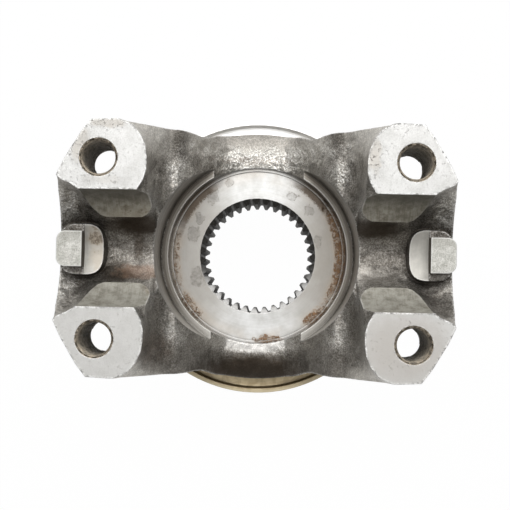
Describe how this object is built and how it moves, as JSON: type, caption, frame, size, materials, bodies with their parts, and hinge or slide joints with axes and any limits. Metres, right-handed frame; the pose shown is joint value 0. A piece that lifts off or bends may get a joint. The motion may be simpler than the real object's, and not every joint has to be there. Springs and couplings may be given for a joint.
{
  "type": "pinion flange",
  "caption": "Half-round end yoke with an internally splined hub, open nut pocket, strap pads with tapped holes and a pressed dust slinger.",
  "frame": {"origin": "bore axis at the hub's end face, which the part stands on", "axes": "+Z along the bore axis towards the universal joint, X along the bearing caps"},
  "size_m": [0.1224, 0.0936, 0.0836],
  "materials": {
    "forged_steel": "satin",
    "yellow_zinc": "satin"
  },
  "bodies": {
    "root": {"flange_yoke": "forged_steel", "dust_slinger": "yellow_zinc"}
  },
  "joints": []
}
